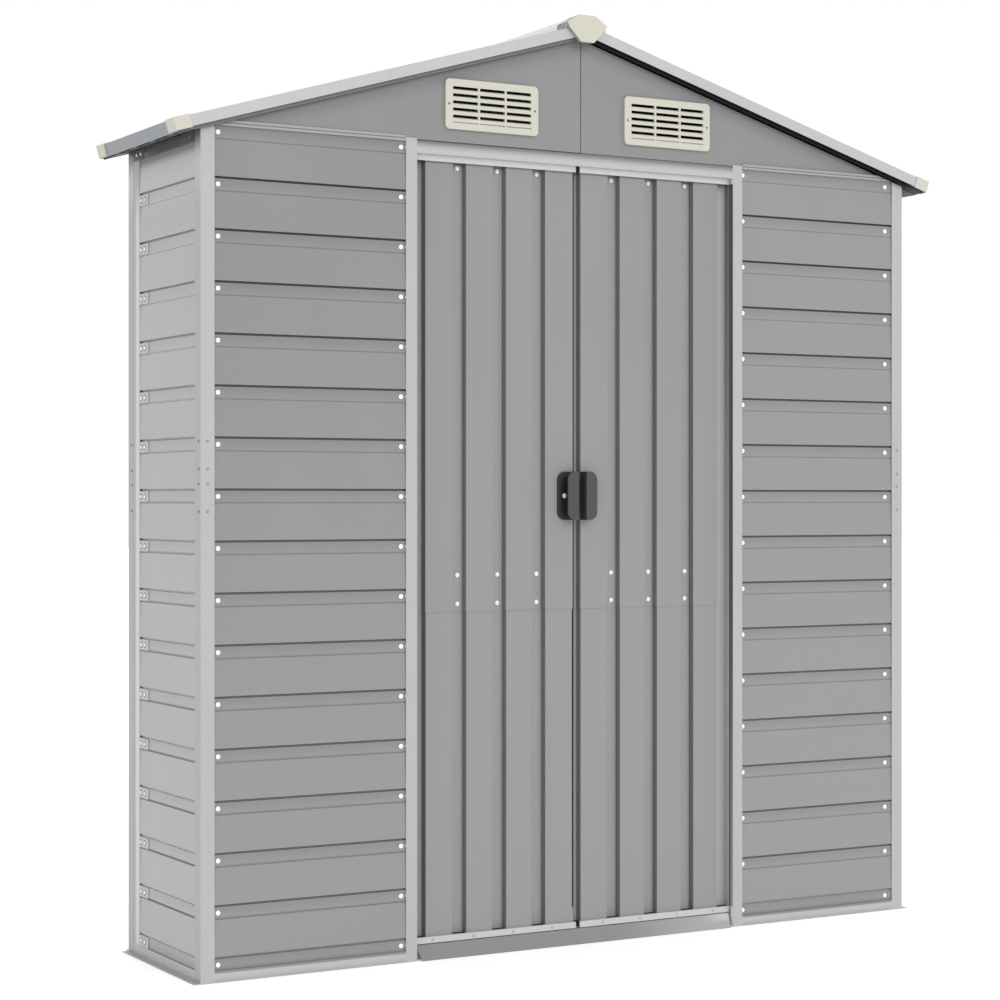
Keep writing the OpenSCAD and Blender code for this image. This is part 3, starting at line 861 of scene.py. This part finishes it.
doorScrews = {
    "heights": (1.669, 0.804, 0.743),
    "columns": 3,
    "shift": 0.0035,  # beside the middle of a channel
    "radius": 0.0038,
    "rise": 0.002,
    "railHeight": 0.0385,
    "railColumns": 4,
    "railFirst": 0.0646,
    "railRadius": 0.0028,
    "railRise": 0.0014,
    "handleX": 0.0325,
    "handlePlate": 0.0032,  # thickness of the handle's back plate
    "handleRadius": 0.0042,
    "handleRise": 0.0022,
}
floorY = doorFace + shed["channelDepth"]
for side, body, handle in ((-1, "left_door", "left_handle"), (1, "right_door", "right_handle")):
    doorMeshes = []
    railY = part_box(body + "_rails")[0][1]
    handleLow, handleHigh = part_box(handle)
    columns = [side * (shed["channelFirst"] + k * shed["channelPitch"]) for k in range(doorScrews["columns"])]
    inChannels = [(x + doorScrews["shift"], floorY, z) for x in columns for z in doorScrews["heights"]]
    steps = [k * shed["channelPitch"] for k in range(doorScrews["railColumns"])]
    onRail = [(side * (doorScrews["railFirst"] + step), railY, doorScrews["railHeight"]) for step in steps]
    plateY = handleHigh[1] - doorScrews["handlePlate"]
    onHandle = [(side * doorScrews["handleX"], plateY, (handleLow[2] + handleHigh[2]) / 2)]
    for name, spots, radius, rise, finish in (
        ("Channel", inChannels, doorScrews["radius"], doorScrews["rise"], whiteScrew),
        ("Rail", onRail, doorScrews["railRadius"], doorScrews["railRise"], railPaint),
        ("Handle", onHandle, doorScrews["handleRadius"], doorScrews["handleRise"], whiteScrew),
    ):
        doorMeshes.append(screwMesh(body + name, spots, "front", radius, rise, finish))
    joinMeshes(body + "Screws", doorMeshes, body)
print("screwed the doors, vents and posts")

studio = {
    "cameraPlace": (-2.6895, -4.5747, 0.9638),
    "cameraYaw": -29.615,
    "lens": 85.0,
    "sensor": 36.0,
    "farClip": 200.0,
    "skyLevel": 1.0,
    "sunTowards": (-0.15, 1.0, -0.5),
    "sunStrength": 0.886,
    "sunSpread": 30,  # in degrees, for soft edged shadows
    "floorHalf": 40,
    "floorDepths": (-0.02, -0.0005),
    "floorLevel": 250,
    "floorRoughness": 0.9,
    "floorGlow": 0.3,  # a light table under the shed
}
lens = bpy.data.cameras.new("photoCamera")
lens.lens = studio["lens"]
lens.sensor_width = studio["sensor"]
lens.clip_end = studio["farClip"]
camera = bpy.data.objects.new("photoCamera", lens)
camera.location = studio["cameraPlace"]
camera.rotation_euler = (math.radians(90), 0, math.radians(studio["cameraYaw"]))
bpy.context.scene.collection.objects.link(camera)
bpy.context.scene.camera = camera

world = bpy.data.worlds.new("studioSky")
world.use_nodes = True
sky = world.node_tree.nodes["Background"]
sky.inputs["Color"].default_value = (1, 1, 1, 1)
sky.inputs["Strength"].default_value = studio["skyLevel"]
bpy.context.scene.world = world

lamp = bpy.data.lights.new("frontLight", "SUN")
lamp.energy = studio["sunStrength"]
lamp.angle = math.radians(studio["sunSpread"])
sun = bpy.data.objects.new("frontLight", lamp)
sunX, sunY, sunZ = studio["sunTowards"]
sun.rotation_euler = (math.atan2(math.hypot(sunX, sunY), -sunZ), 0, math.atan2(-sunX, sunY))
bpy.context.scene.collection.objects.link(sun)

floorPaint = makeWornFinish("floorPaint", studio["floorLevel"], 0.0, studio["floorRoughness"])
floorShader = floorPaint.node_tree.nodes["Principled BSDF"]
floorShader.inputs["Emission Color"].default_value = (1, 1, 1, 1)
floorShader.inputs["Emission Strength"].default_value = studio["floorGlow"]
half = studio["floorHalf"]
floorLow, floorHigh = studio["floorDepths"]
floorMesh = boxMesh("floor", (-half, -half, floorLow), (half, half, floorHigh), floorPaint)
floor = bpy.data.objects.new("floor", floorMesh)
bpy.context.scene.collection.objects.link(floor)
bpy.context.scene.view_settings.view_transform = "Standard"
print("lit the studio")
